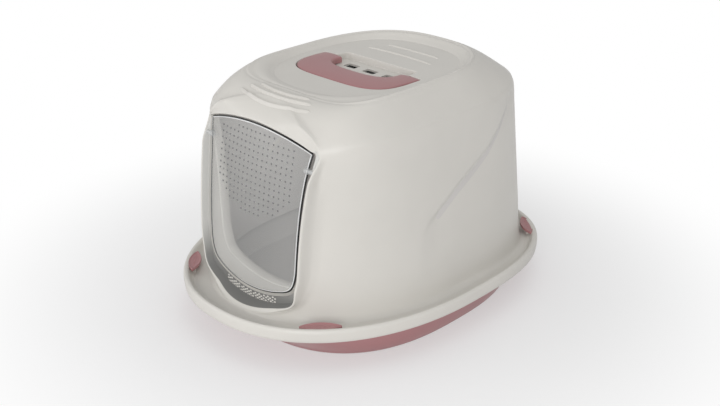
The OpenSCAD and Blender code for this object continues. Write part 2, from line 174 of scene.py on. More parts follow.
# ---------------------------------------------------------------- rings of the hood and the tray
def pchip(t, y, x):
    """Monotone cubic interpolation of the columns of y."""
    t, y, x = np.asarray(t, float), np.asarray(y, float), np.asarray(x, float)
    h = np.diff(t)[:, None]
    d = np.diff(y, axis=0) / h
    m = np.zeros_like(y)
    w1, w2 = 2 * h[1:] + h[:-1], h[1:] + 2 * h[:-1]
    same = d[:-1] * d[1:] > 0
    with np.errstate(divide="ignore", invalid="ignore"):
        m[1:-1] = np.where(same, (w1 + w2) / (w1 / d[:-1] + w2 / d[1:]), 0)
    m[0], m[-1] = d[0], d[-1]
    k = np.clip(np.searchsorted(t, x, side="right") - 1, 0, len(t) - 2)
    s = ((x - t[k]) / (t[k + 1] - t[k]))[:, None]
    hk = (t[k + 1] - t[k])[:, None]
    return ((2 * s**3 - 3 * s**2 + 1) * y[k] + (s**3 - 2 * s**2 + s) * hk * m[k]
            + (3 * s**2 - 2 * s**3) * y[k + 1] + (s**3 - s**2) * hk * m[k + 1])


def flat_ring(z, a, bf, br, nf, nr):
    """A ring: z at the front, side and rear, half width, reach to front and rear, their powers."""
    return [z, z, z, a, bf, br, nf, nr]


def rim_ring(inset, z):
    return flat_ring(z, HALF - inset, FRONT - inset, REAR - inset, 2.2, 2.85)


def shrink(g, side, down):
    return [g[0] - down, g[1] - down, g[2] - down, g[3] - side, g[4] - side, g[5] - side, g[6], g[7]]


def mix(a, b, t):
    return [x + (y - x) * t for x, y in zip(a, b)]


def ring_xyz(g, phi):
    """Points of rings g (rows, 8) at the angles phi."""
    g = np.asarray(g, float)[:, None, :]
    s, c = np.sin(phi)[None], np.cos(phi)[None]
    front = s < 0
    b = np.where(front, g[..., 4], g[..., 5])
    n = np.where(front, g[..., 6], g[..., 7])
    r = ((np.abs(c) / g[..., 3]) ** n + (np.abs(s) / b) ** n) ** (-1 / n)
    x, y = r * c, r * s
    z = np.where(y < 0, g[..., 1] + (g[..., 0] - g[..., 1]) * (np.clip(-y / g[..., 4], 0, None)) ** 5,
                 g[..., 1] + (g[..., 2] - g[..., 1]) * (y / g[..., 5]) ** 2)
    return np.stack([x, y, z], -1)


def skin(rings, counts, phi):
    """Smooth rows through key rings; counts is how many rows each step gets."""
    rings = np.array(rings, float)
    step = np.hypot(np.diff(rings[:, 3]) + 0.3 * np.diff(rings[:, 4]), np.diff(rings[:, 1])) + 0.2
    t = np.concatenate([[0], np.cumsum(step)])
    x = [np.linspace(t[k], t[k + 1], c, endpoint=False) for k, c in enumerate(counts)]
    x = np.concatenate(x + [[t[-1]]])
    return ring_xyz(pchip(t, rings, x), phi)


FOOT = flat_ring(GUTTER_Z + 8, 188.5, 253.5, 247.5, 2.1, 3.25)
SHOULDER = [SHOULDER_Z - 10, SHOULDER_Z, SHOULDER_Z + 6, 170, 211.5, 225, 3.3, 3]
SHOULDER_LOW = [SHOULDER_Z - 17, SHOULDER_Z - 9, SHOULDER_Z - 3, 172, 218.5, 228, 3.1, 3.05]
CREST = [ROOF_Z - 7, ROOF_Z, ROOF_Z + 1, 127.5, 147, 170, 4.5, 2.6]


def wall_ring(t):
    g = mix(FOOT, SHOULDER_LOW, t)
    g[6] = 2.1 + 0.5 * t + (SHOULDER_LOW[6] - 2.6) * t**4
    return g


def bulge(g, v):
    return [g[0] + v * 1.6, g[1], g[2] + v * 0.3, g[3], g[4] + v, g[5] + v * 0.6, g[6], g[7]]


SEAT = flat_ring(SEAT_Z, 186.5, 251.5, 245.5, 2.1, 3.2)
RIM_RINGS = [rim_ring(inset, z) for inset, z in (
    (3.2, SEAT_Z), (3.2, SKIRT_Z + 0.5), (2.6, SKIRT_Z + 0.05), (1.4, SKIRT_Z), (0.9, SKIRT_Z + 0.4),
    (0, CREST_Z - 6), (1.2, CREST_Z - 1.6), (3.5, CREST_Z), (6.5, CREST_Z - 0.6), (11, GUTTER_Z + 4),
    (15, GUTTER_Z + 0.6), (19, GUTTER_Z))]
FILLET = [flat_ring(GUTTER_Z, 196.5, 259.5, 255.5, 2.1, 3),
          flat_ring(GUTTER_Z + 2.5, 192, 256.1, 251, 2.1, 3.1)]
WALL_RINGS = [wall_ring(t) for t in (0, 0.25, 0.5, 0.75, 0.9, 1)]
ROOF = [bulge(mix(SHOULDER, CREST, s), v) for s, v in ((0.1, 1.5), (0.32, 4), (0.58, 5.5), (0.8, 4), (0.93, 1.6))]
DISH = [[CREST[0], ROOF_Z - 0.6, ROOF_Z + 0.2, 124, 143, 165, 2.9, 2.6],
        [DISH_Z + 1.4, DISH_Z + 3.5, DISH_Z + 4, 118.5, 138, 155, 2.4, 2.6],
        [DISH_Z, DISH_Z, DISH_Z, 113.5, 130, 147, 2.4, 2.6]]
OUTER = RIM_RINGS + FILLET + WALL_RINGS + [SHOULDER] + ROOF + [CREST] + DISH
OUTER_STEPS = [1, 1, 1, 1, 3, 3, 2, 2, 4, 3, 3, 4, 3, 4, 16, 14, 14, 10, 6, 5, 4, 6, 7, 6, 4, 3, 3, 5, 4]
GUTTER_ROW = sum(OUTER_STEPS[:len(RIM_RINGS) - 1])
INNER = ([shrink(DISH[2], -1.5, WALL), shrink(CREST, 0, WALL)]
         + [shrink(g, WALL * 0.75, WALL * 0.75) for g in ROOF[::-1]] + [shrink(SHOULDER, WALL, 1)]
         + [shrink(g, WALL, 0) for g in WALL_RINGS[::-1]] + [SEAT])
COLUMNS = 480
PHI = np.linspace(0, 2 * math.pi, COLUMNS, endpoint=False)

outer = skin(OUTER, OUTER_STEPS, PHI)
inner = skin(INNER, [3] * (len(INNER) - 1), PHI[::2])


# A raised fold sweeps down each side of the hood; the wall behind and below it lies a little deeper
SWEEP = np.array([(150, 310), (135, 294), (111, 271), (82, 250), (45, 231), (11, 214), (-22, 194), (-52, 175),
                  (-64, 160)], float)
SWEEP_DEPTH, SWEEP_COS = 3.4, 0.78


def sweep_depth(p):
    """How far the wall lies back at p; d is the distance below the fold, square to it."""
    z = np.interp(p[..., 1], SWEEP[::-1, 0], SWEEP[::-1, 1])
    d = (z - p[..., 2]) * SWEEP_COS
    step = smooth(-3.0, 4.5, d)
    relief = step * np.exp(-np.clip(d - 4.5, 0, None) / 62.0)
    fade = smooth(-72, -30, p[..., 1]) * (1 - smooth(146, 176, p[..., 1]))
    side = smooth(120, 150, np.abs(p[..., 0]))
    band = smooth(70, 100, p[..., 2]) * (1 - smooth(306, 314, p[..., 2]))
    return SWEEP_DEPTH * relief * fade * side * band


def grid_normals(g):
    du = np.roll(g, -1, 1) - np.roll(g, 1, 1)
    dv = np.gradient(g, axis=0)
    n = np.cross(du, dv)
    return n / (np.linalg.norm(n, axis=-1, keepdims=True) + 1e-9)


def crest_grooves(p):
    """Two soft grooves that leave a fine ridge line round the dish."""
    front = p[..., 1] < 0
    b, n = np.where(front, CREST[4], CREST[5]), np.where(front, CREST[6], CREST[7])
    s = ((np.abs(p[..., 0]) / CREST[3]) ** n + (np.abs(p[..., 1]) / b) ** n) ** (1 / n)
    d = (s - 1) * np.hypot(p[..., 0], p[..., 1])
    dip = np.exp(-(((d - 3.4) / 2.0) ** 2)) + 1.3 * np.exp(-(((d + 3.6) / 2.0) ** 2))
    return 1.1 * dip * smooth(330, 340, p[..., 2])


outer = outer - grid_normals(outer) * (sweep_depth(outer) + crest_grooves(outer))[..., None]

# ---------------------------------------------------------------- door outline in the front view
def plan_normals(p):
    """Outward normals of a closed outline that runs anticlockwise."""
    t = np.roll(p, -1, 0) - np.roll(p, 1, 0)
    t /= np.linalg.norm(t, axis=1, keepdims=True)
    return np.stack([t[:, 1], -t[:, 0]], -1)


DOOR_HALF, LOW_Z, HIGH_Z, ARCH, CORNER_H = 93.0, 95.0, 299.0, 18.0, 42.0


def door_x(z):
    up = np.clip((z - LOW_Z) / (HIGH_Z - LOW_Z), 0, 1)
    dn = np.clip((LOW_Z + CORNER_H - z) / CORNER_H, 0, 1)
    return DOOR_HALF - 3 + 6.5 * up + 7.5 * up**5 - 8 * dn**2.4


def base_outline(n=420):
    xb, xt = float(door_x(LOW_Z)), float(door_x(HIGH_Z))
    zs = np.linspace(LOW_Z, HIGH_Z, 140)
    right = np.stack([door_x(zs), zs], -1)
    xs = np.linspace(xt, -xt, 120)[1:-1]
    top = np.stack([xs, HIGH_Z + ARCH * (1 - (xs / xt) ** 2)], -1)
    left = right[::-1] * [-1, 1]
    xs = np.linspace(-xb, xb, 120)[1:-1]
    low = np.stack([xs, LOW_Z - ARCH * (1 - (xs / xb) ** 2)], -1)
    pts = np.concatenate([right, top, left, low])
    seg = np.linalg.norm(np.roll(pts, -1, 0) - pts, axis=1)
    s = np.concatenate([[0], np.cumsum(seg)])
    closed = np.concatenate([pts, pts[:1]])
    u = np.linspace(0, s[-1], n, endpoint=False)
    p = np.stack([np.interp(u, s, closed[:, k]) for k in (0, 1)], -1)
    for k in range(40):
        q = (np.roll(p, 1, 0) + np.roll(p, -1, 0)) / 2
        w = 0.5 * (1 - smooth(112, 130, p[:, 1]))[:, None]
        if k < 3:
            w = np.maximum(w, 0.5)
        p = p + (q - p) * w
    return p


OUT = base_outline()
OUT_N = plan_normals(OUT)
for _ in range(6):
    OUT_N = (np.roll(OUT_N, 1, 0) + 2 * OUT_N + np.roll(OUT_N, -1, 0)) / 4
OUT_N /= np.linalg.norm(OUT_N, axis=1, keepdims=True)
W_TOP = smooth(0.35, 0.85, OUT_N[:, 1])
W_LOW = smooth(0.25, 0.85, -OUT_N[:, 1])
W_SIDE = 1 - W_TOP - W_LOW


def offset(side, top=None, low=None):
    """The door's outline grown by a distance for its sides, its top and its lower edge."""
    top = side if top is None else top
    low = side if low is None else low
    s = side * W_SIDE + top * W_TOP + low * W_LOW
    return OUT + OUT_N * s[:, None]


def barrel_y(xz, y0, r, fade=0.0):
    """A face bowed in both directions, furthest to the front at half width 90 mm up."""
    bow = (xz[:, 1] - 90) ** 2 / 2000 + fade * smooth(261, 299, xz[:, 1])
    return y0 + r - np.sqrt((r - bow) ** 2 - xz[:, 0] ** 2)


BROW_Y, BROW_Z, BROW_RUN, BROW_H = -152, 293, 65, 54
FACE_Y, FACE_R, FACE_FADE = -246.5, 440, 10.5
RECESS_Y, RECESS_R = -234.0, 505


def brow_y(z):
    """A quarter ellipse that turns the frame's face back to the roof above BROW_Z."""
    e = np.clip((z - BROW_Z) / BROW_H, 0, 1)
    y = BROW_Y - BROW_RUN * np.sqrt(1 - e * e)
    return np.where(z < BROW_Z, BROW_Y - BROW_RUN - (BROW_Z - z) * 1.54, y)


def face_y(xz):
    a, b = barrel_y(xz, FACE_Y, FACE_R, FACE_FADE), brow_y(xz[:, 1])
    return (a + b + np.sqrt((a - b) ** 2 + 4)) / 2


def squeeze(q):
    """Draws the frame's outlines in where they pass its rounded upper corners, an ellipse from z0 up."""
    half, z0, high = 118.0, 275.0, 69.0
    x, h = q[:, 0] / half, np.clip(q[:, 1] - z0, 0, None) / high
    s = np.sqrt(x * x + h * h)
    k = np.where(s > 1, (1 + (s - 1) * 0.22) / np.maximum(s, 1), 1)
    k = 1 + (k - 1) * smooth(z0, z0 + 17, q[:, 1])
    return np.stack([q[:, 0] * k, np.where(q[:, 1] > z0, z0 + (q[:, 1] - z0) * k, q[:, 1])], -1)


def lay(xz, y):
    return np.stack([xz[:, 0], np.broadcast_to(y, (len(xz),)), xz[:, 1]], -1)


# ---------------------------------------------------------------- materials
def new_material(name):
    m = bpy.data.materials.new(name)
    m.use_nodes = True
    nt = m.node_tree
    bsdf = nt.nodes["Principled BSDF"]
    return m, nt, bsdf


def link(nt, a, out, b, inp):
    nt.links.new(a.outputs[out], b.inputs[inp])


def node(nt, kind, **values):
    n = nt.nodes.new(kind)
    for k, v in values.items():
        if hasattr(n, k):
            setattr(n, k, v)
        else:
            n.inputs[k.replace("_", " ")].default_value = v
    return n


def plastic(name, colour, rough, grain=0.05, grain_scale=900, mottle=0.03, coat=0.0, spec=0.45):
    """Moulded plastic: faint flow mottle, fine mould texture and uneven gloss."""
    m, nt, bsdf = new_material(name)
    coord = node(nt, "ShaderNodeTexCoord")
    flow = node(nt, "ShaderNodeTexNoise", Scale=7.0, Detail=3.0, Roughness=0.55)
    link(nt, coord, "Object", flow, "Vector")
    ramp = node(nt, "ShaderNodeValToRGB")
    ramp.color_ramp.elements[0].position = 0.3
    ramp.color_ramp.elements[1].position = 0.72
    ramp.color_ramp.elements[0].color = (*[c * (1 - mottle) for c in colour], 1)
    ramp.color_ramp.elements[1].color = (*[min(1, c * (1 + mottle)) for c in colour], 1)
    link(nt, flow, "Fac", ramp, "Fac")
    link(nt, ramp, "Color", bsdf, "Base Color")
    fine = node(nt, "ShaderNodeTexNoise", Scale=float(grain_scale), Detail=2.0, Roughness=0.6)
    link(nt, coord, "Object", fine, "Vector")
    gloss = node(nt, "ShaderNodeTexNoise", Scale=16.0, Detail=4.0, Roughness=0.6)
    link(nt, coord, "Object", gloss, "Vector")
    mr = node(nt, "ShaderNodeMapRange")
    mr.inputs["To Min"].default_value = rough - 0.05
    mr.inputs["To Max"].default_value = rough + 0.07
    link(nt, gloss, "Fac", mr, "Value")
    link(nt, mr, "Result", bsdf, "Roughness")
    bump = node(nt, "ShaderNodeBump", Strength=grain, Distance=0.0004)
    link(nt, fine, "Fac", bump, "Height")
    link(nt, bump, "Normal", bsdf, "Normal")
    bsdf.inputs["Specular IOR Level"].default_value = spec
    bsdf.inputs["Coat Weight"].default_value = coat
    bsdf.inputs["Coat Roughness"].default_value = 0.2
    return m


def clear(name, colour, alpha, rough):
    m, nt, bsdf = new_material(name)
    coord = node(nt, "ShaderNodeTexCoord")
    haze = node(nt, "ShaderNodeTexNoise", Scale=9.0, Detail=3.0, Roughness=0.5)
    link(nt, coord, "Object", haze, "Vector")
    ramp = node(nt, "ShaderNodeValToRGB")
    ramp.color_ramp.elements[0].color = (*[c * 0.97 for c in colour], 1)
    ramp.color_ramp.elements[1].color = (*[min(1, c * 1.03) for c in colour], 1)
    link(nt, haze, "Fac", ramp, "Fac")
    link(nt, ramp, "Color", bsdf, "Base Color")
    mr = node(nt, "ShaderNodeMapRange")
    mr.inputs["To Min"].default_value = rough
    mr.inputs["To Max"].default_value = rough + 0.06
    link(nt, haze, "Fac", mr, "Value")
    link(nt, mr, "Result", bsdf, "Roughness")
    bsdf.inputs["Alpha"].default_value = alpha
    bsdf.inputs["IOR"].default_value = 1.5
    m.surface_render_method = "BLENDED"
    return m


def foam(name, colour):
    m, nt, bsdf = new_material(name)
    coord = node(nt, "ShaderNodeTexCoord")
    cells = node(nt, "ShaderNodeTexVoronoi", Scale=420.0)
    link(nt, coord, "Object", cells, "Vector")
    ramp = node(nt, "ShaderNodeValToRGB")
    ramp.color_ramp.elements[0].position = 0.1
    ramp.color_ramp.elements[1].position = 0.6
    ramp.color_ramp.elements[0].color = (0.004, 0.004, 0.004, 1)
    ramp.color_ramp.elements[1].color = (*colour, 1)
    link(nt, cells, "Distance", ramp, "Fac")
    link(nt, ramp, "Color", bsdf, "Base Color")
    bump = node(nt, "ShaderNodeBump", Strength=0.9, Distance=0.0012)
    link(nt, cells, "Distance", bump, "Height")
    link(nt, bump, "Normal", bsdf, "Normal")
    bsdf.inputs["Roughness"].default_value = 0.95
    bsdf.inputs["Sheen Weight"].default_value = 0.2
    return m


def ledge_painted_shade(name, colour):
    """Painted shade for the recess round the door: dark below the door and paler up the sides of the frame."""
    m = plastic(name, colour, 0.5)
    nt = m.node_tree
    bsdf = nt.nodes["Principled BSDF"]
    axes = node(nt, "ShaderNodeSeparateXYZ")
    link(nt, node(nt, "ShaderNodeTexCoord"), "Object", axes, 0)
    # the painted shade lifts with height: the colour is scaled from 1.0 at 70 mm up to 3.1 at 150 mm
    height = node(nt, "ShaderNodeMapRange", interpolation_type="SMOOTHSTEP", From_Min=0.070, From_Max=0.150,
                  To_Min=1.0, To_Max=3.1)
    link(nt, axes, "Z", height, "Value")
    pale = node(nt, "ShaderNodeVectorMath", operation="SCALE")
    nt.links.new(bsdf.inputs["Base Color"].links[0].from_socket, pale.inputs[0])
    link(nt, height, "Result", pale, "Scale")
    link(nt, pale, 0, bsdf, "Base Color")
    return m


IVORY = plastic("ivory_plastic", (0.64, 0.62, 0.58), 0.42)
IVORY_IN = plastic("ivory_plastic_inside", (0.60, 0.58, 0.56), 0.5)
PINK = plastic("pink_plastic", (0.385, 0.185, 0.19), 0.34, coat=0.15)
GREY = plastic("grey_plastic_inside", (0.56, 0.54, 0.52), 0.5)
CLEAR = clear("clear_plastic", (0.75, 0.76, 0.76), 0.14, 0.08)
# painted highlight: a pale, nearly opaque clear for the bright bevel round the door
EDGE = clear("door_bevel_painted_highlight", (0.86, 0.87, 0.87), 0.72, 0.1)
# painted shade: a dark copy of the ivory for the shaded recess round the door
LEDGE = ledge_painted_shade("ledge_painted_shade", (0.19, 0.188, 0.18))
PIN = clear("clear_plastic_pins", (0.7, 0.71, 0.71), 0.4, 0.1)
# painted shade and painted dark refraction: a near-black band for the door's clear rim and the gap round it
DOOR_RIM_SHADE = plastic("door_rim_painted_shade", (0.012, 0.012, 0.013), 0.25, mottle=0.1, coat=0.3)
# painted shade: near-black for the relief dots on the clear door, standing in for the shade and dark reflection in
# them
DOT = plastic("door_dots_painted_shade", (0.022, 0.022, 0.022), 0.6, mottle=0.1, spec=0.2)
FOAM = foam("filter_foam", (0.03, 0.03, 0.03))

# ---------------------------------------------------------------- hood: portal round the door
outer_faces = grid_faces(outer.shape[0], COLUMNS)
shell_tree = BVHTree.FromPolygons([Vector(p) for p in outer.reshape(-1, 3)], outer_faces)

portal = Build()
solid_out = squeeze(offset(13, 27, 20))
centre = np.array([0.0, 197.0])
fills = []
for f in np.linspace(0.04, 1, 30):
    q = centre + (solid_out - centre) * f
    fills.append(lay(q, face_y(q)))
portal.grid(np.concatenate([[lay(solid_out, -140.0)], fills[::-1]]), caps=(False, True))
portal_tree = BVHTree.FromPolygons([Vector(p) for p in portal.v], [tuple(f) for f in portal.f])

# a point inside the hood from which the shell and the portal are seen without a fold
EYE = np.array([0.0, -60.0, 200.0])
LEAST_Z = 53.4


def cast(tree, points):
    out = np.zeros(len(points))
    for i, p in enumerate(points):
        d = Vector(p - EYE).normalized()
        hit = tree.ray_cast(Vector(EYE), d)
        out[i] = hit[3] if hit[0] is not None else 0.0
    return out


def rays(points):
    d = points - EYE
    return d / np.linalg.norm(d, axis=1, keepdims=True)


def union(points, soft):
    """The softly joined shell and portal along the rays through points, and the shell's own distance."""
    a, b = cast(shell_tree, points), cast(portal_tree, points)
    r = (a + b + np.sqrt((a - b) ** 2 + soft * soft)) / 2
    return EYE + rays(points) * r[:, None], a


def wall_y(q, missing):
    """Where level rays to the front meet the shell, no lower than the gutter."""
    out = []
    for x, z in q:
        hit = shell_tree.ray_cast(Vector((x, -120, max(z, LEAST_Z))), Vector((0, -1, 0)))
        out.append(hit[0].y if hit[0] is not None else missing)
    return np.array(out)


def front_y(q):
    """The front of the frame or of the wall beside it, whichever is further out."""
    a, b = face_y(q), wall_y(q, -150.0)
    return (a + b - np.sqrt((a - b) ** 2 + 4)) / 2


def recess(q):
    return barrel_y(q, RECESS_Y, RECESS_R)


# side, top, low and y of the rows round the jamb, from its rear edge to the face that the door stops at
JAMB = ((12, 12, 18, -186.4), (11.6, 11.6, 17.6, -186), (2.2, 2.2, 3.2, -186), (1.8, 1.8, 2.8, -186.4),
        (1.8, 1.8, 2.8, -200.6), (2.2, 1.9, 3.2, -201), (4.2, 2.0, 4.2, -201), (4.5, 2.0, 4.5, -201.3))
q = offset(*JAMB[0][:3])
rings = [lay(q, np.clip(front_y(q) + 4, -214, -188))]
for side, top, low, y in JAMB:
    # the jamb is wider where the corners of the open door pass
    room = 2.0 * smooth(256, 266, OUT[:, 1]) if side < 3 else 0.0
    rings.append(lay(offset(side + room, top, low), y))


def edge_ring(side, top, low, depth_side, depth_top, depth_low, on_recess):
    """A row of the lip and ledge round the door, sunk below the front or laid on the recess."""
    q = squeeze(offset(side, top, low))
    f = front_y(q)
    y = f + depth_side * W_SIDE + depth_top * W_TOP + depth_low * W_LOW
    if on_recess:
        y = np.maximum(recess(q) * (1 - W_TOP) + y * W_TOP, f + 0.2)
    return lay(q, y)


LEDGE_ROW = len(rings)
rings.append(edge_ring(4.5, 2.0, 4.5, 0, 1.0, 0, True) + [0, 0.7, 0])
for row in ((4.8, 2.3, 4.8, 0, 0.3, 0, True), (6.0, 2.8, 8.5, 0, 0, 0, True), (6.6, 3.2, 12.0, 0, 0, 0, True),
            (7.2, 3.6, 15.0, 0, 0, 0, True), (9.3, 4.6, 17.6, 2.4, 0, 3.6, False),
            (10.0, 5.4, 18.4, 0.7, 0, 1.2, False)):
    rings.append(edge_ring(*row))
LIP_ROW = len(rings) - 1
for side, top, low in ((10.8, 7, 19.2), (11.8, 10, 19.8), (12.6, 14, 20.4)):
    q = squeeze(offset(side, top, low))
    rings.append(union(lay(q, front_y(q)), 1.0)[0])
q = squeeze(offset(12.95, 19, 21))
corner = lay(q, front_y(q))
far = offset(28, 33, 32)
aim = lay(far, face_y(far) + 34 * W_SIDE + 12 * W_TOP)
foot = lay(far, wall_y(far, -250))
foot[:, 2] = np.maximum(foot[:, 2], LEAST_Z)
aim += (foot - aim) * smooth(0.05, 0.6, W_LOW)[:, None]
target = EYE + rays(aim) * cast(shell_tree, aim)[:, None]
PATCH_ROW = len(rings)
STEPS, SOFT, TUCK = 26, 9.0, 0.12
# the patch runs from the frame's outer corner out to the shell, and its last rows tuck just under it
for k in range(STEPS + 1):
    t = k / STEPS
    p = corner + (target - corner) * t
    soft = SOFT * (1 - smooth(0.45, 1.0, t)) * (1 - 0.6 * smooth(235, 275, p[:, 2]))
    q, near = union(p, soft)
    if k >= STEPS - 2:
        q = EYE + rays(p) * (near - TUCK * (k - STEPS + 2))[:, None]
    rings.append(q)
rings = np.array(rings)
a, b = PATCH_ROW - 3, PATCH_ROW + 5
keep = np.maximum(W_SIDE, 0.25)[None, :, None]
for _ in range(4):
    blend = rings.copy()
    blend[a:b] = (rings[a - 1:b - 1] + 2 * rings[a:b] + rings[a + 1:b + 1]) / 4
    rings = rings + (blend - rings) * keep
build = Build()
build.grid(rings, flip=True)
portal_obj = build.obj("hood_portal", "hood", "ivory_plastic", IVORY, 50)
# the lip and ledge faces beside and below the door take the painted-shade material for the shaded recess
portal_obj.data.materials.append(LEDGE)
for k, f in enumerate(portal_obj.data.polygons):
    row, col = divmod(k, len(OUT))
    if LEDGE_ROW <= row < LIP_ROW and W_TOP[col] < 0.3:
        f.material_index = 1


# ---------------------------------------------------------------- hood: outer and inner skins, cut round the door
def chart(p):
    """Where the rays from EYE to p meet a plane ahead of it."""
    w = -(p[..., 1] + 60.0)
    w = np.where(w > 5, w, np.nan)
    return np.stack([p[..., 0] / w, (p[..., 2] - 200.0) / w], -1)


def inside(poly, pts):
    """Even-odd test of points against a closed polygon."""
    x, y = pts[..., 0], pts[..., 1]
    hit = np.zeros(x.shape, bool)
    n = len(poly)
    for i in range(n):
        x0, y0 = poly[i]
        x1, y1 = poly[(i + 1) % n]
        if y0 == y1:
            continue
        cross = (y0 > y) != (y1 > y)
        hit ^= cross & (x < (x1 - x0) * (y - y0) / (y1 - y0) + x0)
    return hit


def drop(faces, mask, rim):
    """The faces that aren't wholly in mask and don't touch rim."""
    return [f for f in faces if not all(mask[i] for i in f) and not any(rim[i] for i in f)]


flat = outer.reshape(-1, 3)
row_of = np.repeat(np.arange(outer.shape[0]), COLUMNS)
hole = inside(chart(rings[-5]), np.nan_to_num(chart(flat), nan=99.0)) & (flat[:, 1] < -100)
hole &= row_of >= GUTTER_ROW + 6
sill = inside(squeeze(offset(10, 5.4, 18.0)), flat[:, [0, 2]]) & (flat[:, 1] < -100) & (flat[:, 1] > -262)
sill &= row_of >= GUTTER_ROW + 2
build = Build()
build.v = flat.tolist()
build.f = drop(outer_faces, hole, sill)
build.obj("hood_shell", "hood", "ivory_plastic", IVORY, 70)

flat = inner.reshape(-1, 3)
inner_faces = grid_faces(inner.shape[0], COLUMNS // 2)
hole = inside(offset(9, 9, 15), flat[:, [0, 2]]) & (flat[:, 1] < -120)
sill = inside(offset(9, 9, 24), flat[:, [0, 2]]) & (flat[:, 1] < -120) & (flat[:, 2] < 110)
build = Build()
build.v = flat.tolist()
build.f = drop(inner_faces, hole, sill)
build.grid(skin([SEAT, rim_ring(3.2, SEAT_Z)], [3], PHI[::2]))
build.obj("hood_lining", "hood", "ivory_plastic", IVORY_IN, 60)

# ---------------------------------------------------------------- hood: dish, finger pocket and vents
def half_super(a, b, n, y0, count):
    """The front half of a superellipse in plan."""
    t = np.linspace(math.pi, 2 * math.pi, count + 1)
    r = ((np.abs(np.cos(t)) / a) ** n + (np.abs(np.sin(t)) / b) ** n) ** (-1 / n)
    return np.stack([r * np.cos(t), y0 + r * np.sin(t)], -1)


def closed_loop(points, count, soften):
    """A closed outline with evenly spaced points and softened corners, and its normals."""
    pts = np.asarray(points, float)
    ring = np.concatenate([pts, pts[:1]])
    s = np.concatenate([[0], np.cumsum(np.linalg.norm(np.diff(ring, axis=0), axis=1))])
    u = np.linspace(0, s[-1], count, endpoint=False)
    p = np.stack([np.interp(u, s, ring[:, k]) for k in (0, 1)], -1)
    for _ in range(soften):
        p = (np.roll(p, 1, 0) + 2 * p + np.roll(p, -1, 0)) / 4
    return p, plan_normals(p)


POCKET_HALF, POCKET_REACH, GRIP_POWER = 97.5, 83.5, 3.8
pocket_rear = [(POCKET_HALF, 15.8), (72, 17.8), (70, 37), (-70, 37), (-72, 17.8), (-POCKET_HALF, 15.8)]
pocket_pts = np.concatenate([half_super(POCKET_HALF, POCKET_REACH, GRIP_POWER, HANDLE_Y, 64), pocket_rear])
loop, loop_n = closed_loop(pocket_pts, 300, 4)


def at(grow, z):
    """The pocket's outline grown by a distance, at height z."""
    q = loop + loop_n * grow
    return np.concatenate([q, np.full((len(q), 1), z)], 1)


build = Build()
build.fill([outer[-1].tolist(), at(1.4, DISH_Z).tolist()])
build.grid([at(1.4, DISH_Z), at(0.8, DISH_Z - 0.15), at(0.25, DISH_Z - 0.7), at(0, DISH_Z - 1.6),
            at(0, POCKET_Z + 1.4), at(-0.4, POCKET_Z + 0.5), at(-1.2, POCKET_Z)])
VENT_PITCH, VENT_Y, VENT_HALF = 38.4, 13.8, (11.5, 7.25)
vents = []
for k in (-1, 0, 1):
    box = [(k * VENT_PITCH + sx * VENT_HALF[0], VENT_Y + sy * VENT_HALF[1])
           for sx, sy in ((-1, -1), (1, -1), (1, 1), (-1, 1))]
    slot = closed_loop(box, 64, 3)[0]
    vents.append(np.concatenate([slot, np.full((len(slot), 1), POCKET_Z)], 1))
build.fill([at(-1.2, POCKET_Z).tolist()] + [v.tolist() for v in vents])
for v in vents:
    build.grid([v, v - [0, 0, 0.3], v - [0, 0, WALL]])
build.fill([at(3, POCKET_Z - WALL).tolist()] + [(v - [0, 0, WALL]).tolist() for v in vents], up=False)
build.grid([at(3, POCKET_Z - WALL), at(3, DISH_Z - 4)], flip=True)
build.obj("hood_dish", "hood", "ivory_plastic", IVORY, 40)


def rib(name, ends, middle, half_width, height, top_tree):
    """A soft raised rib along an arc in plan, laid on the surface below it."""
    (x0, y0), (x1, y1) = ends
    n = 60
    t = np.linspace(0, 1, n)
    x = x0 + (x1 - x0) * t
    y = (y0 * (1 - t) + y1 * t) + (middle - (y0 + y1) / 2) * (1 - (2 * t - 1) ** 2)
    tangent = np.stack([np.gradient(x), np.gradient(y)], -1)
    tangent /= np.linalg.norm(tangent, axis=1, keepdims=True)
    normal = np.stack([-tangent[:, 1], tangent[:, 0]], -1)
    taper = np.sqrt(np.clip(1 - (2 * t - 1) ** 10, 0, 1))
    rows = []
    for a in np.linspace(-1, 1, 11):
        px = x + normal[:, 0] * a * half_width * (0.35 + 0.65 * taper)
        py = y + normal[:, 1] * a * half_width * (0.35 + 0.65 * taper)
        z = []
        for i in range(n):
            hit = top_tree.ray_cast(Vector((px[i], py[i], 400)), Vector((0, 0, -1)))
            z.append(hit[0].z if hit[0] is not None else DISH_Z)
        lift = height * (1 - abs(a) ** 2.2) * taper - 0.06
        rows.append(np.stack([px, py, np.array(z) + lift], -1))
    build = Build()
    build.grid(rows, closed=False, flip=True)
    return build.obj(name, "hood", "ivory_plastic", IVORY, 80)


roof = np.concatenate([outer.reshape(-1, 3), rings.reshape(-1, 3)])
roof_faces = outer_faces + grid_faces(len(rings), len(OUT), start=outer.size // 3)
roof_tree = BVHTree.FromPolygons([Vector(p) for p in roof], roof_faces)
plane = [Vector((x, y, DISH_Z)) for x, y in ((-400, -400), (400, -400), (400, 400), (-400, 400))]
dish_tree = BVHTree.FromPolygons(plane, [(0, 1, 2, 3)])
for k, (x0, x1, y, middle, half_width, height, tree) in enumerate((
        (-48, 50, -155, -162, 2.5, 3.0, roof_tree), (-61, 62, -164, -172.5, 2.6, 3.1, roof_tree),
        (-70, 70, -174, -188, 2.7, 3.2, roof_tree), (-64, 64, 77, 81, 2.3, 1.7, dish_tree),
        (-50, 52, 107, 109, 2.3, 1.7, dish_tree))):
    rib(f"hood_rib_{k + 1}", ((x0, y), (x1, y)), middle, half_width, height, tree)

